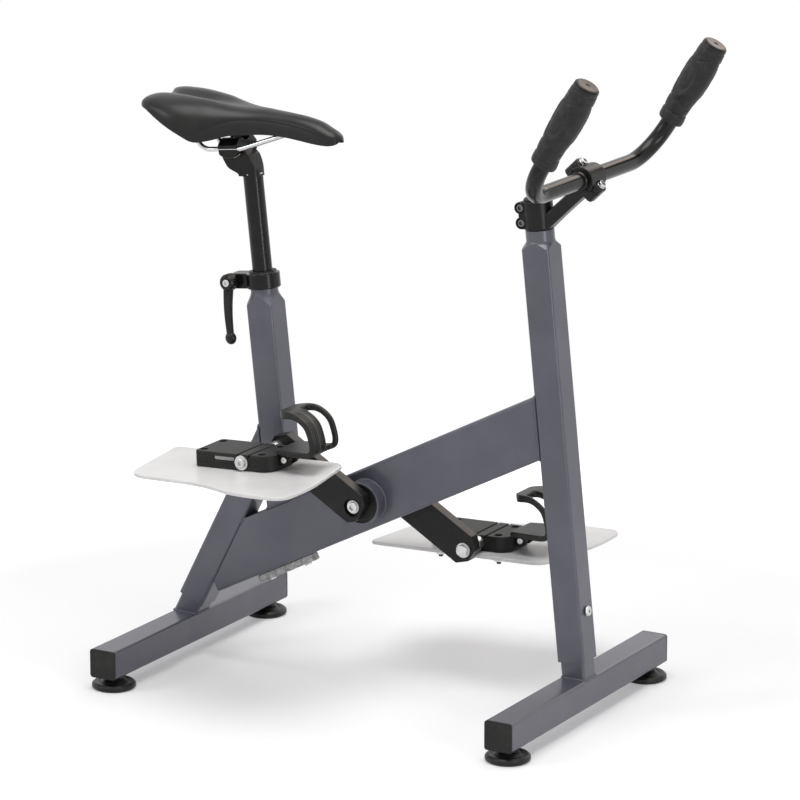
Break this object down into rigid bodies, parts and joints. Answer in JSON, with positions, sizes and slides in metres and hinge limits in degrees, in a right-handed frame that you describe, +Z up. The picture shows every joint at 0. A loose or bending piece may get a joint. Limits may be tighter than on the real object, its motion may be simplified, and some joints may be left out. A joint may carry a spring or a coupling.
{
  "type": "aqua bike",
  "caption": "Stationary pool bike with hanging resistance plates under its pedals, toe clips, an adjustable saddle and a bent handlebar with grips.",
  "frame": {"origin": "on the floor, under the middle of the overall box", "axes": "+X to the front, +Y to the rider's left, +Z up"},
  "size_m": [0.7598, 0.5256, 0.8933],
  "materials": {
    "frame_paint": "satin grey-blue powder coat",
    "black_paint": "satin black",
    "black_plastic": "moulded black",
    "grip_rubber": "moulded dark grey",
    "foot_rubber": "moulded black",
    "stainless_steel": "bright",
    "anode_alloy": "rough cast",
    "plate_polymer": "translucent white sheet",
    "saddle_cover": "black synthetic leather"
  },
  "bodies": {
    "frame": {"front_foot_beam": "frame_paint", "rear_foot_beam": "frame_paint", "front_right_cap": "black_plastic", "front_left_cap": "black_plastic", "rear_right_cap": "black_plastic", "rear_left_cap": "black_plastic", "front_post": "frame_paint", "rear_post": "frame_paint", "main_beam": "frame_paint", "seat_tube": "frame_paint", "crank_shell": "frame_paint", "crank_bearing_right": "black_plastic", "crank_bearing_left": "black_plastic", "front_post_bolt": "stainless_steel", "rear_post_bolt": "stainless_steel", "sacrificial_anode": "anode_alloy", "seat_clamp_collar": "black_paint", "seat_post_shim": "black_plastic", "stem": "black_paint", "stem_faceplate": "black_paint", "faceplate_bolt_lower": "black_paint", "faceplate_bolt_upper": "black_paint", "pinch_bolt_lower": "black_paint", "pinch_bolt_upper": "black_paint", "stem_cap": "black_plastic"},
    "crank_set": {"crank_axle": "stainless_steel", "crank_arm_right": "black_paint", "crank_arm_left": "black_paint", "crank_bolt_right": "stainless_steel", "crank_bolt_left": "stainless_steel", "pedal_spindle_right": "stainless_steel", "pedal_spindle_left": "stainless_steel", "pedal_end_bolt_right": "stainless_steel", "pedal_end_bolt_left": "stainless_steel"},
    "pedal_right": {"pedal_body_right": "black_plastic", "resistance_plate_right": "plate_polymer", "toe_clip_right": "black_plastic"},
    "pedal_left": {"pedal_body_left": "black_plastic", "resistance_plate_left": "plate_polymer", "toe_clip_left": "black_plastic"},
    "lever": {"clamp_stud": "stainless_steel", "clamp_lever": "black_plastic", "lever_screw": "stainless_steel"},
    "seat_mast": {"seat_post": "black_paint"},
    "saddle_clamp": {"saddle_cradle": "black_paint", "saddle_upper_clamp": "black_paint", "saddle_clamp_bolt": "stainless_steel"},
    "saddle": {"saddle_rails": "stainless_steel", "saddle_shell": "black_plastic", "saddle_cover": "saddle_cover"},
    "handlebar": {"handlebar": "black_paint", "grip_right": "grip_rubber", "grip_left": "grip_rubber", "grip_plug_right": "black_plastic", "grip_plug_left": "black_plastic"},
    "front_right_foot": {"front_right_levelling_foot": "foot_rubber"},
    "front_left_foot": {"front_left_levelling_foot": "foot_rubber"},
    "rear_right_foot": {"rear_right_levelling_foot": "foot_rubber"},
    "rear_left_foot": {"rear_left_levelling_foot": "foot_rubber"}
  },
  "joints": [
    {"name": "crank_spin", "type": "hinge", "parent": "frame", "child": "crank_set", "pos_m": [-0.04186, 0, 0.261], "axis": [0, 1, 0], "continuous": true},
    {"name": "pedal_right_spin", "type": "hinge", "parent": "crank_set", "child": "pedal_right", "pos_m": [-0.15557, 0, 0.3296], "axis": [0, 1, 0], "continuous": true},
    {"name": "pedal_left_spin", "type": "hinge", "parent": "crank_set", "child": "pedal_left", "pos_m": [0.07185, 0, 0.1924], "axis": [0, 1, 0], "continuous": true},
    {"name": "lever_turn", "type": "hinge", "parent": "frame", "child": "lever", "pos_m": [-0.25801, 0, 0.53724], "axis": [0, 1, 0], "range_deg": [0, 120]},
    {"name": "seat_height", "type": "slide", "parent": "frame", "child": "seat_mast", "axis": [-0.108, 0, 0.9942], "range_m": [-0.08, 0.09]},
    {"name": "saddle_tilt", "type": "hinge", "parent": "seat_mast", "child": "saddle_clamp", "pos_m": [-0.25578, 0, 0.72971], "axis": [0, 1, 0], "range_deg": [-6, 6]},
    {"name": "saddle_fore_aft", "type": "slide", "parent": "saddle_clamp", "child": "saddle", "axis": [0.9942, 0, 0.108], "range_m": [-0.002, 0.014]},
    {"name": "handlebar_tilt", "type": "hinge", "parent": "frame", "child": "handlebar", "pos_m": [0.27381, 0, 0.72984], "axis": [0, 1, 0], "range_deg": [-20, 20]},
    {"name": "front_right_foot_height", "type": "slide", "parent": "frame", "child": "front_right_foot", "axis": [0, 0, -1], "range_m": [0, 0.01]},
    {"name": "front_left_foot_height", "type": "slide", "parent": "frame", "child": "front_left_foot", "axis": [0, 0, -1], "range_m": [0, 0.01]},
    {"name": "rear_right_foot_height", "type": "slide", "parent": "frame", "child": "rear_right_foot", "axis": [0, 0, -1], "range_m": [0, 0.01]},
    {"name": "rear_left_foot_height", "type": "slide", "parent": "frame", "child": "rear_left_foot", "axis": [0, 0, -1], "range_m": [0, 0.01]}
  ]
}
